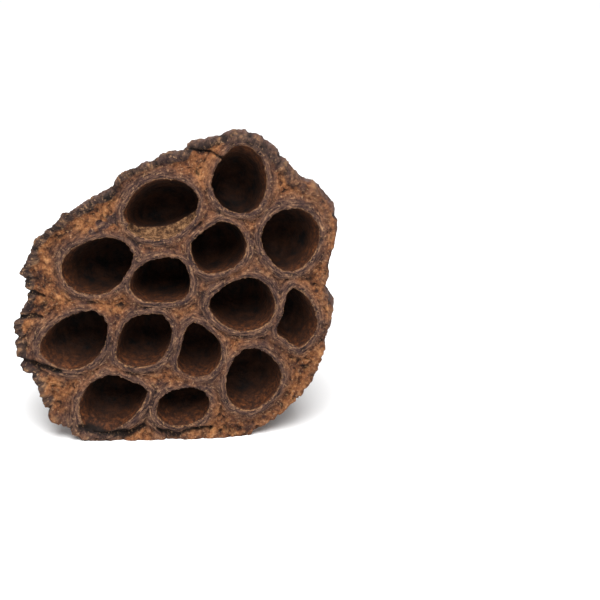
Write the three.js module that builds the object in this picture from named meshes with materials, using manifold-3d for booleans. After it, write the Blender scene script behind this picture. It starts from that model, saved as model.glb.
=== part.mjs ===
// A dried lotus seed pod with its seeds gone. It stands on the flattened side of its
// bowl, and its seed face, with fourteen empty pockets, is turned to -Y.
// Millimetres, +Z up. The origin is the bottom centre of the pod's box.
import * as THREE from 'three';
import { mergeVertices } from 'three/addons/utils/BufferGeometryUtils.js';
import Module from 'manifold-3d';

// Driving dimensions. In the pod's own frame x runs right and z up across the face,
// both from the stem's axis, and y runs from the rim back to the stem.
const bowlDepth = 46;
const faceDome = 2.5;
const stemRadius = 6.5;
const stemLength = 4.5;
const stemDrop = 5;
const leanBack = THREE.MathUtils.degToRad(3.5);
const footCut = 1.6;
const pocketReach = 90;
const lidHeight = 6;

// The bowl's profile from rim to stem. A higher fullness keeps it wide for longer, and
// the foot, where the pod was pressed flat, is fuller than its sides and top and tapers
// at the angle at which the pod leans. The shoulder stands out at the upper right, over
// the front part of the depth. Shares are of the rim's radius and of the bowl's depth.
const sideFullness = 2.2;
const footFullness = 7;
const footTaper = 0.065;
const shoulderAngle = THREE.MathUtils.degToRad(22);
const shoulderBulge = 0.07;
const shoulderLength = 0.4;

// How the folds, the stem's drop and the rim's sways gather at one end of the depth or
// of the face: each is a power of the share of the way there.
const foldGather = 1.6;
const dropGather = 4;
const swayGatherOnFace = 3;
const swayGatherOnFlank = 2;

// How closely the surfaces are divided.
const podColumns = 100;
const pocketColumns = 18;

// The crest of the rim, clockwise from the right-hand side as the face is seen.
const rimCrest = [
  [44, -5.5], [42.5, -17.5], [38.5, -30], [31, -39.5], [20.5, -47], [12, -49.5], [0, -50],
  [-12, -50], [-24, -50.5], [-32, -48], [-38, -43], [-42.5, -41], [-44, -35.5], [-46.5, -28.5],
  [-50.5, -24], [-52.5, -15], [-53, -9.5], [-49.5, -4], [-48.5, 0.5], [-50, 6],
  [-47, 11], [-46, 16], [-38.5, 22.5], [-27, 30.5], [-22.5, 33.5], [-21.5, 36], [-11, 41.5],
  [-4, 43.5], [0.5, 44], [1, 46.5], [6, 47], [10, 48.5], [16, 49.3], [21, 48.3], [27, 43.5],
  [32, 37], [35, 34], [40, 31], [44.5, 24], [45.5, 18.5], [44, 11], [43.5, 5.5], [42, 0.5],
];

// How the rim sways out of its plane: the number of waves round it, their height and
// the place of a crest, in degrees anticlockwise from the right.
const rimSways = [
  { waves: 1, height: 1.3, crest: 20 },
  { waves: 3, height: 1.8, crest: -57 },
  { waves: 5, height: 0.5, crest: 30 },
];

// Each pocket: its mouth on the face, clockwise from the top, and its depth.
const pockets = [
  {
    mouth: [[18.5, 48], [23, 45.5], [25.5, 40], [25.5, 33.5], [22, 27], [17, 26],
      [11.5, 28.5], [8.5, 34.5], [10.5, 41.5], [14.5, 46.5]],
    depth: 18,
  },
  {
    mouth: [[-9.5, 36.5], [-1, 36.5], [3.5, 33], [4.5, 28], [1.5, 26], [-3.5, 23], [-10.5, 21.5],
      [-17, 22.5], [-18.5, 25.5], [-14.5, 33]],
    depth: 18,
  },
  {
    mouth: [[-24, 18.5], [-18.5, 17], [-15.5, 13.5], [-17.5, 7.5], [-22, 1.5], [-28.5, -0.5],
      [-35, 1], [-39, 7], [-36, 13.5], [-29.5, 17]],
    depth: 19,
  },
  {
    mouth: [[-5, 12], [-0.5, 10.5], [1.5, 4], [0, -1], [-6.5, -2.5], [-13.5, -2],
      [-17, 1.5], [-15.5, 7.5], [-10.5, 11]],
    depth: 18,
  },
  {
    mouth: [[11, 23.5], [16.5, 21.5], [19, 15], [16.5, 10], [10.5, 7], [5.5, 7],
      [2.5, 11.5], [2, 16.5], [6, 20.5]],
    depth: 17,
  },
  {
    mouth: [[32.5, 27.5], [38.5, 26.5], [42, 21], [41, 14.5], [36.5, 8.5], [31.5, 7],
      [26.5, 10.5], [23.5, 18], [27, 25]],
    depth: 17,
  },
  {
    mouth: [[19, 5.5], [24.5, 3.5], [27.5, -2.5], [26.5, -8.5], [21.5, -12], [15.5, -12],
      [9, -8], [7, -2.5], [11, 2]],
    depth: 18,
  },
  {
    mouth: [[33, 2], [37, -0.5], [40.5, -7.5], [40.5, -13], [35.5, -19], [31, -15.5],
      [28, -13], [30, -7], [31, -1]],
    depth: 14,
  },
  {
    mouth: [[-29, -5.5], [-25, -8], [-24.5, -13], [-27.5, -20.5], [-34.5, -25], [-41.5, -24],
      [-46.5, -19.5], [-44.5, -14], [-37.5, -8]],
    depth: 18,
  },
  {
    mouth: [[-13.5, -6.5], [-7, -6.5], [-4.5, -11.5], [-6, -18.5], [-10, -23], [-16, -24],
      [-21.5, -22], [-21, -14.5], [-18, -8.5]],
    depth: 17,
  },
  {
    mouth: [[2.5, -9], [6.5, -11.5], [10.5, -16.5], [10, -23], [6, -27.5], [0, -27],
      [-3, -24], [-1.5, -16.5], [0, -11]],
    depth: 17,
  },
  {
    mouth: [[-24.5, -26.5], [-18, -28.5], [-12.5, -32], [-14, -36.5], [-19.5, -43],
      [-26, -45.5], [-31.5, -44], [-34, -39], [-31.5, -31]],
    depth: 18,
  },
  {
    mouth: [[-2.5, -31.5], [4, -32], [7, -36.5], [5, -42], [-0.5, -44.5], [-6.5, -44],
      [-10, -40], [-8, -34]],
    depth: 14,
  },
  {
    mouth: [[21, -18], [26, -21], [30, -27], [29.5, -33], [25, -39], [19.5, -41],
      [14, -38], [12, -31.5], [13.5, -24], [17, -19]],
    depth: 18,
  },
  // The worn lower lip of the second pocket, a shallow scoop in front of its mouth.
  {
    mouth: [[-8, 31], [0, 30.5], [4, 27], [1.5, 22.5], [-5, 18], [-11, 18], [-17, 21],
      [-14, 29]],
    depth: 5,
  },
];

// A pocket's shape below its mouth: how deep each ring lies and how wide it is, as
// shares of the pocket's depth and of its mouth.
const pocketRings = [[0, 1], [0.24, 1.04], [0.5, 1.02], [0.72, 0.9], [0.88, 0.66], [0.97, 0.36], [1, 0]];

// The face: how far out each ring lies, as a share of the way to the crest.
const faceRings = [0, 0.35, 0.7, 0.92];

// The flank: how far back each ring lies, as a share of the bowl's depth.
const flankRings = [0, 0.03, 0.1, 0.2, 0.32, 0.45, 0.58, 0.7, 0.8, 0.88, 0.94, 0.98];

// The stem's stub: how far along it each ring lies, and how wide it is.
const stubRings = [[0.15, 1.04], [0.55, 1.04], [0.9, 0.72], [1, 0]];

// Where the bowl is drawn in to the stem: the middle of each fold in degrees
// anticlockwise from the right, and how deep and how wide it is.
const folds = [
  { middle: 12, depth: 2.2, width: 8 },
  { middle: 48, depth: 1.6, width: 6 },
  { middle: 83, depth: 2.4, width: 8 },
  { middle: 121, depth: 1.8, width: 7 },
  { middle: 158, depth: 2.4, width: 9 },
  { middle: 196, depth: 1.8, width: 7 },
  { middle: 232, depth: 1.5, width: 6 },
  { middle: 309, depth: 1.6, width: 7 },
  { middle: 338, depth: 2.0, width: 7 },
];

// A closed lump made by moving the points of a ball: place gives each point its
// position from its column's share of the way round and its ring's number.
function shapedBall(columns, rings, place) {
  const ball = new THREE.SphereGeometry(1, columns, rings);
  const position = ball.getAttribute('position');
  const uv = ball.getAttribute('uv');
  for (let i = 0; i < position.count; i += 1) {
    const ring = Math.round((1 - uv.getY(i)) * rings);
    const point = place(uv.getX(i), ring);
    position.setXYZ(i, point.x, point.y, point.z);
  }
  ball.deleteAttribute('normal');
  ball.deleteAttribute('uv');
  return mergeVertices(ball);
}

// A smooth closed line through points on the face. A ball's columns run
// anticlockwise as the face is seen, so the line is read backwards.
function outlineReader(points) {
  const corners = points.map(([x, z]) => new THREE.Vector3(x, 0, z));
  const line = new THREE.CatmullRomCurve3(corners, true, 'centripetal');
  return (share) => line.getPointAt((2 - share) % 1);
}

// The bowl's width at a depth t from the rim, 0, to the stem, 1, as a share of the
// rim's.
function bowlWidth(angle, t) {
  const low = ((1 - Math.sin(angle)) / 2) ** 2;
  const fullness = THREE.MathUtils.lerp(sideFullness, footFullness, low);
  const taper = footTaper * low;
  const shoulder = Math.max(Math.cos(angle - shoulderAngle), 0);
  const bulge = shoulderBulge * shoulder * Math.sin(Math.PI * Math.min(t / shoulderLength, 1));
  return 1 - taper * t - (1 - taper) * t ** fullness + bulge;
}

// How far the folds draw the bowl in at an angle, deepest between rim and stem.
function foldDepth(angle, t) {
  const degrees = THREE.MathUtils.radToDeg(angle);
  let drawnIn = 0;
  for (const { middle, depth, width } of folds) {
    const away = THREE.MathUtils.euclideanModulo(degrees - middle + 180, 360) - 180;
    drawnIn += depth * Math.exp(-((away / width) ** 2));
  }
  return drawnIn * Math.sin(Math.PI * t ** foldGather);
}

// How far back the rim lies at an angle, where it sways out of its plane.
function rimSetback(angle) {
  const degrees = THREE.MathUtils.radToDeg(angle);
  let setback = 0;
  for (const { waves, height, crest } of rimSways) {
    setback += height * Math.cos(THREE.MathUtils.degToRad(waves * (degrees - crest)));
  }
  return setback;
}

function facePoint(rim, out) {
  const rise = faceDome * (1 - out * out);
  const sway = rimSetback(Math.atan2(rim.z, rim.x)) * out ** swayGatherOnFace;
  return new THREE.Vector3(rim.x * out, sway - rise, rim.z * out);
}

function flankPoint(rim, t) {
  const angle = Math.atan2(rim.z, rim.x);
  const rimRadius = Math.hypot(rim.x, rim.z);
  const spread = (rimRadius - stemRadius) * bowlWidth(angle, t);
  const radius = stemRadius + spread - foldDepth(angle, t);
  const drop = stemDrop * t ** dropGather;
  const sway = rimSetback(angle) * (1 - t) ** swayGatherOnFlank;
  return new THREE.Vector3(
    radius * Math.cos(angle),
    bowlDepth * t + sway,
    radius * Math.sin(angle) - drop,
  );
}

function stubPoint(rim, along, width) {
  const angle = Math.atan2(rim.z, rim.x);
  const radius = stemRadius * width;
  return new THREE.Vector3(
    radius * Math.cos(angle),
    bowlDepth + stemLength * along,
    radius * Math.sin(angle) - stemDrop,
  );
}

// The pod's body before its pockets are cut: face, bowl and the stub of the stem.
function podBody() {
  const rimAt = outlineReader(rimCrest);
  const flankStart = faceRings.length;
  const stubStart = flankStart + flankRings.length;
  const rings = stubStart + stubRings.length - 1;
  return shapedBall(podColumns, rings, (share, ring) => {
    const rim = rimAt(share);
    if (ring < flankStart) {
      return facePoint(rim, faceRings[ring]);
    }
    if (ring < stubStart) {
      return flankPoint(rim, flankRings[ring - flankStart]);
    }
    const [along, width] = stubRings[ring - stubStart];
    return stubPoint(rim, along, width);
  });
}

// The space of one pocket. It narrows towards a point far behind the stem, as all
// the pockets of a pod do, and its lid stands clear in front of the face.
function pocketSpace({ mouth, depth }) {
  const mouthAt = outlineReader(mouth);
  const middle = new THREE.Vector3();
  for (const [x, z] of mouth) {
    middle.add(new THREE.Vector3(x / mouth.length, 0, z / mouth.length));
  }
  const lid = -lidHeight / depth;
  const levels = [[lid, 0], [lid, 1], ...pocketRings];
  return shapedBall(pocketColumns, levels.length - 1, (share, ring) => {
    const [deep, wide] = levels[ring];
    const y = deep * depth;
    const point = middle.clone().lerp(mouthAt(share), wide);
    point.multiplyScalar(1 - (y + faceDome / 2) / pocketReach);
    point.y = y;
    return point;
  });
}

const wasm = await Module();
wasm.setup();

function solidFrom(geometry) {
  const vertProperties = new Float32Array(geometry.getAttribute('position').array);
  const triVerts = new Uint32Array(geometry.getIndex().array);
  return new wasm.Manifold(new wasm.Mesh({ numProp: 3, vertProperties, triVerts }));
}

function geometryFrom(solid) {
  const mesh = solid.getMesh();
  const geometry = new THREE.BufferGeometry();
  geometry.setAttribute('position', new THREE.BufferAttribute(mesh.vertProperties, 3));
  geometry.setIndex(new THREE.BufferAttribute(mesh.triVerts, 1));
  return geometry;
}

// A block whose top is the floor, which cuts the foot flat.
function floorBlock(top) {
  const side = 200;
  const thickness = 20;
  const block = new THREE.BoxGeometry(side, side, thickness);
  block.translate(0, 0, top - thickness / 2);
  block.deleteAttribute('normal');
  block.deleteAttribute('uv');
  return mergeVertices(block);
}

// The pod with its pockets, leant back and cut flat below, its foot at z = 0.
function podGeometry() {
  const body = podBody().rotateX(-leanBack);
  body.computeBoundingBox();
  const floor = body.boundingBox.min.z + footCut;
  let solid = solidFrom(body).subtract(solidFrom(floorBlock(floor)));
  for (const pocket of pockets) {
    const space = pocketSpace(pocket).rotateX(-leanBack);
    solid = solid.subtract(solidFrom(space));
  }
  const geometry = geometryFrom(solid);
  geometry.computeBoundingBox();
  const centre = geometry.boundingBox.getCenter(new THREE.Vector3());
  geometry.translate(-centre.x, -centre.y, -floor);
  geometry.computeVertexNormals();
  return geometry;
}

const driedHusk = new THREE.MeshStandardMaterial({ color: '#6e503d', roughness: 0.9, metalness: 0 });

const lotusPod = new THREE.Mesh(podGeometry(), driedHusk);
lotusPod.name = 'lotus_pod';

const model = new THREE.Group();
model.add(lotusPod);

export default model;
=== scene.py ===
"""A dried lotus pod standing on its flattened side, its face of empty seed pockets to the front."""

import math

import bmesh
import bpy
import numpy as np
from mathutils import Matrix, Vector, noise
from mathutils.bvhtree import BVHTree
from mathutils.kdtree import KDTree


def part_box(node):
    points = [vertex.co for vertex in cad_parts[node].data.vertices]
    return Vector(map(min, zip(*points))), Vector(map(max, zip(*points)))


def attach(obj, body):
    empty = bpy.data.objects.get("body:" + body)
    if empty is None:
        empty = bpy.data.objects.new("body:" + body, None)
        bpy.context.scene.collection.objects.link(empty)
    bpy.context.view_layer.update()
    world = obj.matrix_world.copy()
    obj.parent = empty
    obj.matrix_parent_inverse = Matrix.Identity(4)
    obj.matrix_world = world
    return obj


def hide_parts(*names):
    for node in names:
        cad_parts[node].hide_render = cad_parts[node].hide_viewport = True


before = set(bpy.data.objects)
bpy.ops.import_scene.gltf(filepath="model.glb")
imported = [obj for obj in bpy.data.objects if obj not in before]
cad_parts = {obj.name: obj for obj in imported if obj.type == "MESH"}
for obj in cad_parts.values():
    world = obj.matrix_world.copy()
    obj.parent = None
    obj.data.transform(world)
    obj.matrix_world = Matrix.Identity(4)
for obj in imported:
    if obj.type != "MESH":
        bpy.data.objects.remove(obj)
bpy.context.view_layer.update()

# ---------------------------------------------------------------------------
# The view. A camera with a long lens looks slightly down on the pod, which
# stands left of the middle of the picture.

MM = 0.001
CAMERA_DISTANCE = 650 * MM
CAMERA_HEIGHT_ANGLE = math.radians(23.5)
LENS = 125.8
NEAREST_SEEN = 50 * MM
AIM_RIGHT_OF_POD = 38.1 * MM
AIM_BEHIND_FRONT = 4.4 * MM
AIM_HEIGHT = 46.7 * MM

pod_low, pod_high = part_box("lotus_pod")
pod_middle = (pod_low + pod_high) / 2
aim = Vector((pod_middle.x + AIM_RIGHT_OF_POD, pod_low.y + AIM_BEHIND_FRONT, AIM_HEIGHT))
sight = Vector((0, math.cos(CAMERA_HEIGHT_ANGLE), -math.sin(CAMERA_HEIGHT_ANGLE)))

camera_data = bpy.data.cameras.new("camera")
camera_data.lens = LENS
camera_data.clip_start = NEAREST_SEEN
camera = bpy.data.objects.new("camera", camera_data)
camera.location = aim - sight * CAMERA_DISTANCE
camera.rotation_euler = sight.to_track_quat("-Z", "Y").to_euler()
bpy.context.scene.collection.objects.link(camera)
bpy.context.scene.camera = camera
bpy.context.scene.view_settings.view_transform = "Standard"

# ---------------------------------------------------------------------------
# The light and the floor. A wide soft lamp above and in front, a pale sky all
# round, and a white table.

LAMP_PLACE = Vector((0.02, -0.4, 0.8))
LAMP_SIDE = 0.7
LAMP_POWER = 16.0
SKY_WHITE = "#ffffff"
SKY_STRENGTH = 0.5
TABLE_WHITE = "#f3f3f3"
TABLE_ROUGHNESS = 0.9
TABLE_SIDE = 40.0


def linear(hex_colour):
    """A colour for a shader, from its sRGB hex value."""
    shares = [int(hex_colour[i : i + 2], 16) / 255 for i in (1, 3, 5)]
    return (*[s / 12.92 if s <= 0.04045 else ((s + 0.055) / 1.055) ** 2.4 for s in shares], 1)


lamp_data = bpy.data.lights.new("overhead", "AREA")
lamp_data.shape = "SQUARE"
lamp_data.size = LAMP_SIDE
lamp_data.energy = LAMP_POWER
lamp = bpy.data.objects.new("overhead", lamp_data)
lamp.location = LAMP_PLACE
lamp.rotation_euler = (pod_middle - LAMP_PLACE).to_track_quat("-Z", "Y").to_euler()
bpy.context.scene.collection.objects.link(lamp)

sky = bpy.data.worlds.new("pale_sky")
sky.use_nodes = True
sky_shader = sky.node_tree.nodes["Background"]
sky_shader.inputs["Color"].default_value = linear(SKY_WHITE)
sky_shader.inputs["Strength"].default_value = SKY_STRENGTH
bpy.context.scene.world = sky

table_mesh = bmesh.new()
bmesh.ops.create_grid(table_mesh, x_segments=1, y_segments=1, size=TABLE_SIDE / 2)
table_data = bpy.data.meshes.new("table")
table_mesh.to_mesh(table_data)
table_mesh.free()
table = bpy.data.objects.new("table", table_data)
bpy.context.scene.collection.objects.link(table)

# Matt white paint, which shows a soft shadow and no shine.
table_paint = bpy.data.materials.new("matt_white_paint")
table_paint.use_nodes = True
paint_shader = table_paint.node_tree.nodes["Principled BSDF"]
paint_shader.inputs["Base Color"].default_value = linear(TABLE_WHITE)
paint_shader.inputs["Roughness"].default_value = TABLE_ROUGHNESS
table_data.materials.append(table_paint)

# ---------------------------------------------------------------------------
# The pod. One dried seed head, grown in one piece: a spongy face with fourteen
# pockets, a rough rim, and a leathery bowl drawn in pleats to the stem's stub.
# Its skin is a fine mesh over the plain solid, shrunk and wrinkled as it dried.

SKIN_GRAIN = 0.5 * MM
SKIN_TRIANGLES = 196000
SOFTNESS = 0.5
SOFTENINGS = 3
SAME_POINT = 0.001 * MM
SHARP_EDGE = math.radians(42)
SMALLEST_POCKET = 100 * MM * MM
EDGE_STEP = 0.3 * MM

plain = bmesh.new()
plain.from_mesh(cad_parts["lotus_pod"].data)
bmesh.ops.remove_doubles(plain, verts=plain.verts, dist=SAME_POINT)
bmesh.ops.recalc_face_normals(plain, faces=plain.faces)
plain.faces.ensure_lookup_table()


def smooth_patches(mesh):
    """The mesh's faces in patches, each of faces that are joined across gentle edges."""
    found = []
    seen = set()
    for start in mesh.faces:
        if start in seen:
            continue
        seen.add(start)
        patch = []
        waiting = [start]
        while waiting:
            face = waiting.pop()
            patch.append(face)
            for edge in face.edges:
                if edge.calc_face_angle(math.pi) > SHARP_EDGE:
                    continue
                for neighbour in edge.link_faces:
                    if neighbour not in seen:
                        seen.add(neighbour)
                        waiting.append(neighbour)
        found.append(patch)
    return found


def patch_area(patch):
    return sum(face.calc_area() for face in patch)


def patch_centre(patch):
    total = sum((face.calc_center_median() * face.calc_area() for face in patch), Vector())
    return total / patch_area(patch)


patches = sorted(smooth_patches(plain), key=patch_area, reverse=True)
bowl_patch, face_patch = patches[:2]
others = [patch for patch in patches[2:] if patch_area(patch) > SMALLEST_POCKET]
pocket_patches = [patch for patch in others if patch_centre(patch).y < pod_middle.y]
stem_patch = next(patch for patch in others if patch_centre(patch).y > pod_middle.y)

# A pocket's number is its zone. The smallest patch is the worn lip of another pocket.
BOWL, FACE = -2, -1
zone_of = {face.index: BOWL for face in bowl_patch + stem_patch}
zone_of.update({face.index: FACE for face in face_patch})
for number, patch in enumerate(pocket_patches):
    zone_of.update({face.index: number for face in patch})
worn_lip = pocket_patches.pop()
worn_faces = {face.index for face in worn_lip}
beside = {zone_of[face.index] for own in worn_lip for edge in own.edges for face in edge.link_faces}
worn_pocket = min(beside - {FACE, len(pocket_patches)})
zone_of.update({face.index: worn_pocket for face in worn_lip})


def points_on_edges(zones):
    """Points every small step along the edges where two zones meet."""
    points = []
    for edge in plain.edges:
        if {zone_of.get(face.index) for face in edge.link_faces} != zones:
            continue
        start, end = (vert.co for vert in edge.verts)
        steps = max(1, math.ceil((end - start).length / EDGE_STEP))
        points += [start.lerp(end, step / steps) for step in range(steps)]
    return points


def tree_of(points):
    tree = KDTree(len(points))
    for number, point in enumerate(points):
        tree.insert(point, number)
    tree.balance()
    return tree


mouth_trees = [tree_of(points_on_edges({FACE, number})) for number in range(len(pocket_patches))]
rim_tree = tree_of(points_on_edges({FACE, BOWL}))
plain_tree = BVHTree.FromBMesh(plain)
face_middle = np.array(patch_centre(face_patch)) / MM
stem_middle = np.array(patch_centre(stem_patch)) / MM

# The fine skin: the plain solid remeshed and softened, so that no facet shows.
plain_data = bpy.data.meshes.new("lotus_pod_skin")
plain.to_mesh(plain_data)
skin = bpy.data.objects.new("lotus_pod_skin", plain_data)
bpy.context.scene.collection.objects.link(skin)
remesh = skin.modifiers.new("fine_skin", "REMESH")
remesh.mode = "VOXEL"
remesh.voxel_size = SKIN_GRAIN
soften = skin.modifiers.new("softened_edges", "SMOOTH")
soften.factor = SOFTNESS
soften.iterations = SOFTENINGS


def finish_modifiers():
    """Turns what the modifiers make of the skin into its own mesh."""
    finished = skin.evaluated_get(bpy.context.evaluated_depsgraph_get())
    skin.data = bpy.data.meshes.new_from_object(finished)
    skin.modifiers.clear()


def read(mesh, kind):
    """The places or the normals of a mesh's points, a row for each."""
    values = np.empty(len(mesh.vertices) * 3)
    mesh.vertices.foreach_get(kind, values)
    return values.reshape(-1, 3)


finish_modifiers()
places = read(skin.data, "co") / MM
normals = read(skin.data, "normal")
count = len(places)

# Where each point of the skin is, in millimetres: how far from the nearest pocket's
# mouth and from the next one's, and how far from the rim. Inside a pocket the way to
# its mouth is negative, and so is the way from the bowl to the rim.
MOUTHS_MATTER = 26.0
nearest = [plain_tree.find_nearest(place)[2] for place in (places * MM).tolist()]
zone = np.array([zone_of.get(face, BOWL) for face in nearest])
worn = np.array([face in worn_faces for face in nearest], float)
rim = np.array([rim_tree.find(place)[2] for place in (places * MM).tolist()]) / MM
rim[zone == BOWL] *= -1
near_face = np.flatnonzero((zone != BOWL) | (np.abs(rim) < MOUTHS_MATTER))
gaps = np.full((count, len(mouth_trees)), MOUTHS_MATTER)
for column, tree in enumerate(mouth_trees):
    gaps[near_face, column] = [tree.find(place)[2] / MM for place in (places[near_face] * MM).tolist()]
gaps.sort(axis=1)
mouth, next_mouth = gaps[:, 0].copy(), gaps[:, 1].copy()
mouth[zone >= 0] *= -1

CRUMB_FADE = 0.7
CRUMB_STEP = 2.1
CRUMB_LAYERS = 4
CREASE_CURVE = 1.5


def rise(values, start, whole):
    """0 up to the start and 1 from where it is whole, with a smooth rise between."""
    share = np.clip((values - start) / (whole - start), 0, 1)
    return share * share * (3 - 2 * share)


def hill(values, middle, width, height=1.0):
    """A smooth hill along the values, or a dip where its height is negative."""
    return height * np.exp(-(((values - middle) / width) ** 2))


def lumps(points, size, height=1.0):
    """Smooth random lumps and hollows. A number added to the points picks other lumps."""
    return height * np.array([noise.noise(point) for point in (points / size).tolist()])


def crumbs(points, size, height=1.0):
    """Random lumps with smaller and smaller ones on them."""
    spots = (points / size).tolist()
    return height * np.array([noise.fractal(spot, CRUMB_FADE, CRUMB_STEP, CRUMB_LAYERS) for spot in spots])


def cell_edges(points, size):
    """0 on the edges between random cells of about a size, rising into each cell."""
    distances = [noise.voronoi(point)[0] for point in (points / size).tolist()]
    return np.array([second - first for first, second, *_ in distances])


def creases(values, sharpness):
    """1 along the lines where a pattern is zero, falling off to both sides."""
    return np.clip(1 - np.abs(values) * sharpness, 0, 1) ** CREASE_CURVE


# The way round the rim, and the way round the stem with the pleats that run to it.
PLEAT_STRETCH = 0.25
from_middle = places - face_middle
way_round = np.arctan2(from_middle[:, 2], from_middle[:, 0])
outwards = np.stack([np.cos(way_round), np.zeros(count), np.sin(way_round)], axis=1)
bowl_depth = stem_middle[1] - face_middle[1]
along = (places[:, 1] - face_middle[1]) / bowl_depth
from_axis = places - (face_middle + along[:, None] * (stem_middle - face_middle))
radius = np.hypot(from_axis[:, 0], from_axis[:, 2])
turn = np.arctan2(from_axis[:, 2], from_axis[:, 0]) + lumps(places, size=14.0, height=0.05)
pleat_way = np.stack([np.cos(turn), np.sin(turn), along * PLEAT_STRETCH], axis=1)

on_face = rise(mouth, start=-0.5, whole=0.8) * rise(rim, start=-1.0, whole=0.6)
on_bowl = rise(-rim, start=0.0, whole=2.5) * (zone == BOWL)
in_pocket = rise(-mouth, start=0.2, whole=1.5)
on_stem = rise(radius, start=7.6, whole=6.6) * rise(along, start=0.86, whole=0.9) * on_bowl

# The rim is a rough roll of lobes and notches, crossed by short wrinkles. It is roughest
# at the left and at the foot. Its lobes and notches are sized in radians round the rim.
ROUGHEST_WAY = math.radians(200)
CALM_SHARE = 0.3
RIM_RADIUS = 51.0
RIM_WRINKLE_WIDTH = 1.5
RIM_WRINKLE_LENGTH = 4.0
OTHER_LUMPS = (3, 0, 0)
RIM_SPREAD = 0.9
RAGGEDNESS = 0.1


def facing(way, start, whole):
    """1 on the side of the rim that faces a way, and a small share on the other side."""
    return CALM_SHARE + (1 - CALM_SHARE) * rise(np.cos(way_round - way), start, whole)


rough_side = facing(ROUGHEST_WAY, start=-0.5, whole=0.2)
round_rim = outwards * (RIM_RADIUS / RIM_WRINKLE_WIDTH)
rim_way = np.stack([round_rim[:, 0], round_rim[:, 2], rim / RIM_WRINKLE_LENGTH], axis=1)
wrinkles_across = crumbs(rim_way, size=1.0)
notches = creases(lumps(outwards + OTHER_LUMPS, size=0.22), sharpness=3.6)
rim_roll = hill(rim, middle=0.2, width=1.3, height=0.7) + hill(rim, middle=3.0, width=1.2, height=-0.35)
cross_folds = notches * rough_side * hill(rim, middle=0, width=4.0, height=-0.6)
rim_wrinkles = wrinkles_across * hill(rim, middle=0, width=3.0, height=0.32)
rim_scurf = crumbs(places, size=2.0) * hill(rim, middle=0, width=3.5, height=0.5)
rim_lobes = RIM_SPREAD + lumps(outwards, size=0.25, height=1.7) - notches
rim_lobes += RAGGEDNESS * wrinkles_across
rim_lobes *= rough_side * hill(rim, middle=0, width=2.8)

# Each mouth has a raised collar with wrinkles round it, and where two collars meet
# the wrinkles run on between them, along a groove.
COLLAR_WRINKLE_WIDTH = 0.8
COLLAR_WRINKLE_LENGTH = 5.0
INNER_WRINKLES = 0.25
OUTER_WRINKLES = 0.6
GROOVE_SHARE = 0.6
round_mouth = places / COLLAR_WRINKLE_LENGTH
collar_way = np.stack([mouth / COLLAR_WRINKLE_WIDTH, round_mouth[:, 0], round_mouth[:, 2]], axis=1)
wrinkles_round = crumbs(collar_way, size=1.0) * rise(mouth, start=0.3, whole=1.2)
wrinkles_round *= INNER_WRINKLES + (OUTER_WRINKLES - INNER_WRINKLES) * rise(mouth, start=1.0, whole=2.2)
ragged_lip = crumbs(places, size=1.5) * hill(mouth, middle=0, width=0.9, height=0.3)
collar = hill(mouth, middle=0.9, width=1.2, height=0.5) + hill(mouth, middle=3.4, width=1.3, height=-0.35)
collar *= rise(mouth, start=-1.2, whole=0.4)
groove = hill(next_mouth - mouth, middle=0, width=0.8, height=-0.4) * rise(mouth, start=1.0, whole=2.0)
groove *= on_face * (GROOVE_SHARE + lumps(places + 60, size=3.0, height=0.8))

# The ledge between collars and rim is crumbly pith, cracked into small cells. It is
# smoother at the right, and most cracked between the two top pockets.
MOST_CRACKED = (9.0, 87.5)
SMOOTH_SHARE = 0.4
CELL_CRACK_DEPTH = 0.6
LEDGE_DEPTH = 0.5
ledge = rise(mouth, start=2.6, whole=4.8) * rise(rim, start=0.8, whole=2.6)
crumble = crumbs(places, size=3.6, height=0.3) + crumbs(places, size=1.3, height=0.35)
crumble *= SMOOTH_SHARE + (1 - SMOOTH_SHARE) * rough_side
bent_places = places + lumps(places, size=1.5, height=0.6)[:, None]
from_most_cracked = np.linalg.norm(places[:, [0, 2]] - MOST_CRACKED, axis=1)
cracked = rise(lumps(places + 15, size=9.0), start=0.0, whole=0.35)
cracked = np.maximum(cracked, hill(from_most_cracked, middle=0, width=5.0))
cell_cracks = CELL_CRACK_DEPTH * cracked * rise(cell_edges(bent_places, size=3.4), start=0.16, whole=0.0)

# Torn cracks in the face, each a line of places across and up in millimetres, with
# its depth and width: the one behind the top lobe, then three in from the left rim
# and two along the foot.
CRACKS = (
    (((4.5, 94.6), (8.5, 93.8), (11.2, 93.4), (15.0, 91.6)), 1.3, 0.4),
    (((-49.5, 49.8), (-41.7, 47.3)), 1.5, 0.6),
    (((-52.0, 40.4), (-42.8, 40.9)), 1.2, 0.7),
    (((-49.5, 27.4), (-43.0, 25.0), (-37.5, 23.4)), 1.8, 0.8),
    (((-30.5, 5.2), (-24.0, 2.8), (-15.5, 2.6), (-11.5, 4.4)), 1.7, 0.8),
    (((-7.0, 3.4), (-1.0, 2.2), (4.0, 3.6), (10.0, 3.2)), 1.3, 0.6),
)
wander = [lumps(places, size=2.5, height=0.5), lumps(places + 30, size=2.5, height=0.5)]
flat_places = places[:, [0, 2]] + np.stack(wander, axis=1)
torn = np.zeros(count)
for line, depth, width in CRACKS:
    for start, end in zip(np.array(line), np.array(line)[1:]):
        share = np.clip((flat_places - start) @ (end - start) / ((end - start) @ (end - start)), 0, 1)
        away = np.linalg.norm(flat_places - start - share[:, None] * (end - start), axis=1)
        torn = np.maximum(torn, hill(away, middle=0, width=width, height=depth))
torn *= rise(rim, start=-4.0, whole=-2.0) * rise(along * bowl_depth, start=14, whole=8)

# A weathered dark stain on the pith, of three round patches: each a place across and
# up, and a radius.
STAIN = ((-22.5, 71.0, 2.0), (-19.0, 73.0, 1.8), (-25.5, 69.0, 1.4))
STAIN_BLEND = 1.0
stain = np.zeros(count)
for across, up, size in STAIN:
    away = np.linalg.norm(flat_places - (across, up), axis=1) + lumps(places, size=1.6, height=1.3)
    stain = np.maximum(stain, rise(away, start=size + STAIN_BLEND, whole=size - STAIN_BLEND))

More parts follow.
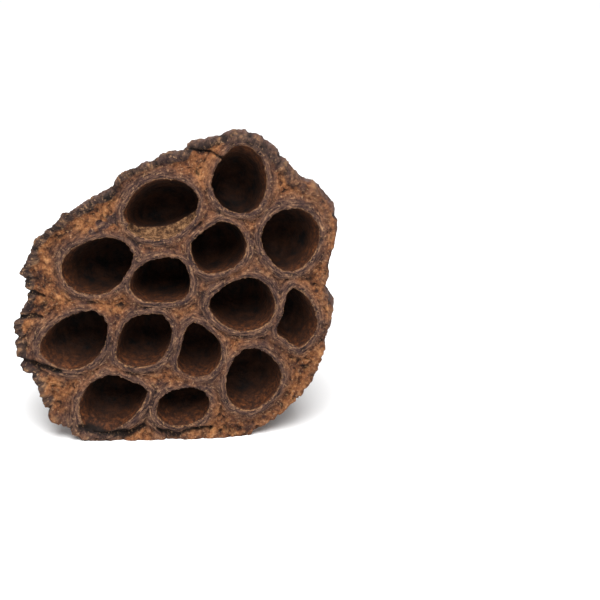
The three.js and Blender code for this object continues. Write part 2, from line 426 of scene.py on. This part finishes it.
# The bowl is drawn in to the stem by deep creases, with pleats and fibres between, and
# parts of it are bleached tan. What runs to the stem is sized in radians round it.
CREASE_DEPTH = 1.6
PLEAT_DEPTH = 0.9
PLEATS_WHOLE = 22.0
LOBES_WHOLE = 30.0
LOBE_STRETCH = (1, 1, 0.6)
reach_in = np.minimum(1, radius / PLEATS_WHOLE)
deep_creases = creases(lumps(pleat_way, size=0.3), sharpness=6.5) * rise(radius, start=48, whole=14)
pleats = creases(lumps(pleat_way + 5, size=0.14), sharpness=2.6)
fibres = crumbs(pleat_way + 9, size=0.05, height=0.6)
bowl_relief = reach_in * (reach_in * fibres - CREASE_DEPTH * deep_creases - PLEAT_DEPTH * pleats)
bowl_relief += crumbs(places, size=2.4, height=0.2)
bowl_lobes = lumps(pleat_way * LOBE_STRETCH + 2, size=0.5, height=0.9)
bowl_lobes *= on_bowl * np.minimum(1, radius / LOBES_WHOLE)
tanned = on_bowl * rise(lumps(places + 40, size=17.0), start=-0.1, whole=0.5)
tanned *= rise(along, start=0.15, whole=0.45)

# The stub of the stem is a corky scar with pits.
STEM_PIT_DEPTH = 0.5
stem_cells = cell_edges(places + lumps(places, size=1.2, height=0.5)[:, None], size=1.9)
stem_relief = crumbs(places, size=3.0, height=0.9) + crumbs(places, size=1.2, height=0.5)
stem_relief -= STEM_PIT_DEPTH * rise(stem_cells, start=0.14, whole=0.0)

# Everything that rises or falls by its own small amount, then the broad swells. The
# foot stays flat on the table.
relief = (
    on_face * (wrinkles_round + crumbs(places, size=1.2, height=0.28))
    + ledge * (crumble - cell_cracks)
    + groove
    - torn
    + ragged_lip
    + cross_folds
    + rim_wrinkles
    + rim_scurf
    + on_bowl * (1 - on_stem) * bowl_relief
    + on_stem * stem_relief
    + in_pocket * crumbs(places, size=2.6, height=0.2)
)
swell = (
    collar
    + rim_roll
    + on_face * lumps(places, size=8.0, height=0.45)
    - LEDGE_DEPTH * ledge
    + bowl_lobes
    + in_pocket * lumps(places, size=7.0, height=0.25)
)
foot = rise(places[:, 2], start=1.2, whole=0.2) * rise(normals[:, 2], start=-0.7, whole=-0.95)
moves = normals * (relief + swell)[:, None] + outwards * rim_lobes[:, None]
places += moves * (1 - foot)[:, None]
places[:, 2] = np.maximum(places[:, 2], 0)
skin.data.vertices.foreach_set("co", (places * MM).ravel())

# The rim is darkest at the top left. On the bowl the dust and painted shade of a hollow start lower,
# because the pleats leave it mostly hollow.
DARKEST_WAY = math.radians(135)
DARK_SHARE = 0.9
BOWL_LEVEL = 0.4
dark_side = facing(DARKEST_WAY, start=-0.4, whole=0.6)
dark_side *= DARK_SHARE + lumps(places, size=3.0, height=0.5)
dark_band = rise(rim + lumps(places, size=2.4, height=1.1), start=2.8, whole=1.2)
for name, kind, values in (
    ("mouth", "FLOAT", mouth),
    ("rim", "FLOAT", rim),
    ("stem", "FLOAT", on_stem),
    ("relief", "FLOAT", relief + BOWL_LEVEL * on_bowl),
    ("face", "FLOAT", on_face),
    ("tanned", "FLOAT", tanned),
    ("worn", "FLOAT", worn),
    ("stain", "FLOAT", stain),
    ("rim_shade", "FLOAT", dark_side * dark_band),
    ("pleat_way", "FLOAT_VECTOR", pleat_way),
    ("collar_way", "FLOAT_VECTOR", collar_way),
    ("rim_way", "FLOAT_VECTOR", rim_way),
):
    attribute = skin.data.attributes.new(name, kind, "POINT")
    field = "vector" if kind == "FLOAT_VECTOR" else "value"
    attribute.data.foreach_set(field, np.asarray(values, np.float32).ravel())

thin = skin.modifiers.new("thinned", "DECIMATE")
thin.ratio = SKIN_TRIANGLES / sum(len(face.vertices) - 2 for face in skin.data.polygons)
finish_modifiers()
skin.data.polygons.foreach_set("use_smooth", [True] * len(skin.data.polygons))


def add(tree, kind, settings, inputs, stops=()):
    """Adds a node with its settings and its ramp's stops, and fills or links its inputs."""
    node = tree.nodes.new(kind)
    for name, value in settings.items():
        setattr(node, name, value)
    for name, value in inputs.items():
        if isinstance(value, bpy.types.NodeSocket):
            tree.links.new(value, node.inputs[name])
        else:
            node.inputs[name].default_value = value
    if stops:
        ramp = node.color_ramp.elements
        ramp[0].position, ramp[1].position = stops[0][0], stops[-1][0]
        for position, colour in stops[1:-1]:
            ramp.new(position)
        for stop, (position, colour) in zip(ramp, stops):
            stop.color = linear(colour)
    return node


# Dry husk. The pith is tan and crumbly, the collars and the rim are weathered to a
# purplish grey, the pockets are lined with dark brown skin, and the bowl is
# leathery, streaked from red brown to grey along its pleats. None of it shines.
DRY_SPECULAR = 0.2
husk = bpy.data.materials.new("dry_lotus_husk")
husk.use_nodes = True
tree = husk.node_tree
shader = tree.nodes["Principled BSDF"]
shader.inputs["Specular IOR Level"].default_value = DRY_SPECULAR
here = add(tree, "ShaderNodeTexCoord", {}, {}).outputs["Object"]
value = {
    name: add(tree, "ShaderNodeAttribute", {"attribute_name": name}, {}).outputs["Fac"]
    for name in ("mouth", "rim", "stem", "relief", "face", "tanned", "worn", "stain", "rim_shade")
}
way = {
    name: add(tree, "ShaderNodeAttribute", {"attribute_name": name}, {}).outputs["Vector"]
    for name in ("collar_way", "rim_way", "pleat_way")
}

# Each pattern's coordinates, how many lumps there are in their unit, how many
# finer ones lie on it, and their share.
pattern = {
    name: add(
        tree,
        "ShaderNodeTexNoise",
        {},
        {"Vector": coordinates, "Scale": scale, "Detail": detail, "Roughness": share},
    ).outputs["Fac"]
    for name, coordinates, scale, detail, share in (
        ("patches", here, 1 / (13.0 * MM), 5, 0.62),
        ("bruises", here, 1 / (4.5 * MM), 6, 0.68),
        ("crumbs", here, 1 / (1.4 * MM), 6, 0.75),
        ("flecks", here, 1 / (0.8 * MM), 3, 0.6),
        ("strands", way["collar_way"], 1.5, 6, 0.75),
        ("rim_strands", way["rim_way"], 1.0, 5, 0.7),
        ("streaks", way["pleat_way"], 34.0, 6, 0.75),
    )
}

# A mix node's inputs and outputs go by number, because their names repeat.
SHARE, NUMBER_A, NUMBER_B, COLOUR_A, COLOUR_B = 0, 2, 3, 6, 7
MIXED_NUMBER, MIXED_COLOUR = 0, 2
for name, one, other in (("mixed", "strands", "crumbs"), ("mottles", "bruises", "crumbs")):
    halves = {SHARE: 0.5, NUMBER_A: pattern[one], NUMBER_B: pattern[other]}
    pattern[name] = add(tree, "ShaderNodeMix", {}, halves).outputs[MIXED_NUMBER]

# Each tissue, and the painted shade deep in the pockets and the painted highlight on the lips: its
# colours from low to high along a pattern.
TISSUES = (
    ("pith", "mottles", (
        (0.35, "#150a05"), (0.43, "#462712"), (0.50, "#6f4328"), (0.57, "#905f39"), (0.67, "#ba8556"),
    )),
    ("septum", "mixed", (
        (0.35, "#120a07"), (0.43, "#382116"), (0.50, "#5a3a29"), (0.57, "#775038"), (0.67, "#a57a56"),
    )),
    ("collar", "strands", (
        (0.35, "#0f0807"), (0.43, "#2e1d19"), (0.50, "#4a332b"), (0.58, "#694c3b"), (0.68, "#a27a58"),
    )),
    ("rim", "rim_strands", (
        (0.32, "#110a08"), (0.45, "#2d1f1a"), (0.57, "#4d392f"), (0.72, "#8d6848"),
    )),
    ("bowl", "streaks", (
        (0.28, "#150c0a"), (0.40, "#3a2620"), (0.48, "#593d33"), (0.55, "#554946"), (0.63, "#735546"),
        (0.72, "#94745c"),
    )),
    ("tanned", "streaks", (
        (0.28, "#1e110a"), (0.42, "#492e20"), (0.50, "#6b4834"), (0.58, "#7d5a44"), (0.72, "#a87e5b"),
    )),
    ("stem", "crumbs", ((0.30, "#3a2110"), (0.44, "#7a4c28"), (0.56, "#a87545"), (0.70, "#e0b986"))),
    ("lining", "crumbs", ((0.34, "#140803"), (0.50, "#361b0b"), (0.68, "#643719"))),
    # Painted shade: the lining drawn near black deep in each pocket.
    ("deep_pocket_shade", "bruises", ((0.36, "#070302"), (0.66, "#331a0b"))),
    ("worn", "crumbs", ((0.34, "#1d110a"), (0.46, "#4b3220"), (0.56, "#7c593c"), (0.70, "#b28a60"))),
    ("stain", "mixed", ((0.36, "#100a09"), (0.50, "#392622"), (0.66, "#6f5143"))),
    # A light line on each lip, partly wear and partly a painted highlight.
    ("lip_wear_and_highlight", "flecks", ((0.30, "#4e311d"), (0.70, "#a1764f"))),
)
tissue = {
    name: add(tree, "ShaderNodeValToRGB", {}, {"Fac": pattern[follows]}, stops).outputs["Color"]
    for name, follows, stops in TISSUES
}

# Where each tissue and shade lies: the value it follows, and where it starts and is
# whole. The edges of collars and septa wander in patches, and the light line on each lip,
# partly wear and partly a painted highlight, is broken by the flecks.
EDGE_WANDER = 13.0
wandering_mouth = add(
    tree,
    "ShaderNodeMath",
    {"operation": "MULTIPLY_ADD"},
    {0: pattern["patches"], 1: EDGE_WANDER, 2: value["mouth"]},
).outputs[0]
from_lip = add(tree, "ShaderNodeMath", {"operation": "ABSOLUTE"}, {0: value["mouth"]}).outputs[0]
mask = {
    name: add(
        tree,
        "ShaderNodeMapRange",
        {"interpolation_type": "SMOOTHSTEP"},
        {"Value": follows, "From Min": start, "From Max": whole},
    ).outputs["Result"]
    for name, follows, start, whole in (
        ("septum", wandering_mouth, 11.8, 9.0),
        ("collar", wandering_mouth, 9.4, 7.6),
        ("stain", value["stain"], 0.2, 0.8),
        ("rim", value["rim_shade"], 0.1, 0.75),
        ("bowl", value["rim"], -1.5, -7.0),
        ("tanned", value["tanned"], 0.0, 1.4),
        ("stem", value["stem"], 0.2, 0.8),
        ("lining", value["mouth"], -0.1, -0.7),
        # Painted shade, darkest towards the bottom of each pocket.
        ("deep_pocket_shade", value["mouth"], -1.0, -11.0),
        ("worn", value["worn"], 0.3, 0.8),
        ("lip_wear_and_highlight", from_lip, 0.45, 0.1),
        # Painted shade, and dust, in the hollows of the relief.
        ("hollow_dust_and_shade", value["relief"], 0.0, -0.9),
        # Painted highlight, and wear, on the raised ridges of the relief.
        ("ridge_wear_and_highlight", value["relief"], 0.15, 0.7),
        ("bruise", pattern["bruises"], 0.5, 0.38),
        # Painted highlights: pale flecks on the face.
        ("fleck_highlight", pattern["flecks"], 0.58, 0.68),
    )
}
lip_breaks = add(
    tree, "ShaderNodeMapRange", {}, {"Value": pattern["flecks"], "From Min": 0.42, "From Max": 0.58}
).outputs["Result"]
for name, where in (("bruise", value["face"]), ("fleck_highlight", value["face"]), ("lip_wear_and_highlight", lip_breaks)):
    both = {0: mask[name], 1: where}
    mask[name] = add(tree, "ShaderNodeMath", {"operation": "MULTIPLY"}, both).outputs[0]

# The tissues, the painted pocket shade and the painted lip highlight are laid over the pith in turn,
# each with the pattern that shapes it.
colour, height = tissue["pith"], pattern["crumbs"]
for name, shape in (
    ("septum", "mixed"),
    ("collar", "strands"),
    ("stain", "mixed"),
    ("rim", "rim_strands"),
    ("bowl", "streaks"),
    ("tanned", "streaks"),
    ("stem", "crumbs"),
    ("lining", "patches"),
    ("deep_pocket_shade", "patches"),
    ("worn", "crumbs"),
    ("lip_wear_and_highlight", "flecks"),
):
    colours = {SHARE: mask[name], COLOUR_A: colour, COLOUR_B: tissue[name]}
    heights = {SHARE: mask[name], NUMBER_A: height, NUMBER_B: pattern[shape]}
    colour = add(tree, "ShaderNodeMix", {"data_type": "RGBA"}, colours).outputs[MIXED_COLOUR]
    height = add(tree, "ShaderNodeMix", {}, heights).outputs[MIXED_NUMBER]

# Hollows are painted darker, partly as dust and partly as painted shade; ridges are painted paler,
# partly as wear and partly as a painted highlight; the face is bruised darker in places; and pale
# flecks are painted on as highlights. Each has its colour and its strength.
for name, shade, strength in (
    ("hollow_dust_and_shade", "#0d0806", 0.9),
    ("ridge_wear_and_highlight", "#ab8058", 0.3),
    ("bruise", "#2a1a1c", 0.45),
    ("fleck_highlight", "#b58d68", 0.4),
):
    partly = {0: mask[name], 1: strength}
    share = add(tree, "ShaderNodeMath", {"operation": "MULTIPLY"}, partly).outputs[0]
    colours = {SHARE: share, COLOUR_A: colour, COLOUR_B: linear(shade)}
    colour = add(tree, "ShaderNodeMix", {"data_type": "RGBA"}, colours).outputs[MIXED_COLOUR]
tree.links.new(colour, shader.inputs["Base Color"])

# Raised crumbs are rubbed a little smoother than the hollows.
roughness = add(
    tree, "ShaderNodeMapRange", {}, {"Value": pattern["crumbs"], "To Min": 0.95, "To Max": 0.65}
).outputs["Result"]
tree.links.new(roughness, shader.inputs["Roughness"])

folds = add(
    tree, "ShaderNodeBump", {}, {"Strength": 1.0, "Distance": 0.8 * MM, "Height": height}
).outputs["Normal"]
grain = add(
    tree,
    "ShaderNodeBump",
    {},
    {"Strength": 0.8, "Distance": 0.25 * MM, "Height": pattern["flecks"], "Normal": folds},
).outputs["Normal"]
tree.links.new(grain, shader.inputs["Normal"])
skin.data.materials.clear()
skin.data.materials.append(husk)

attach(skin, "root")
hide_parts("lotus_pod")
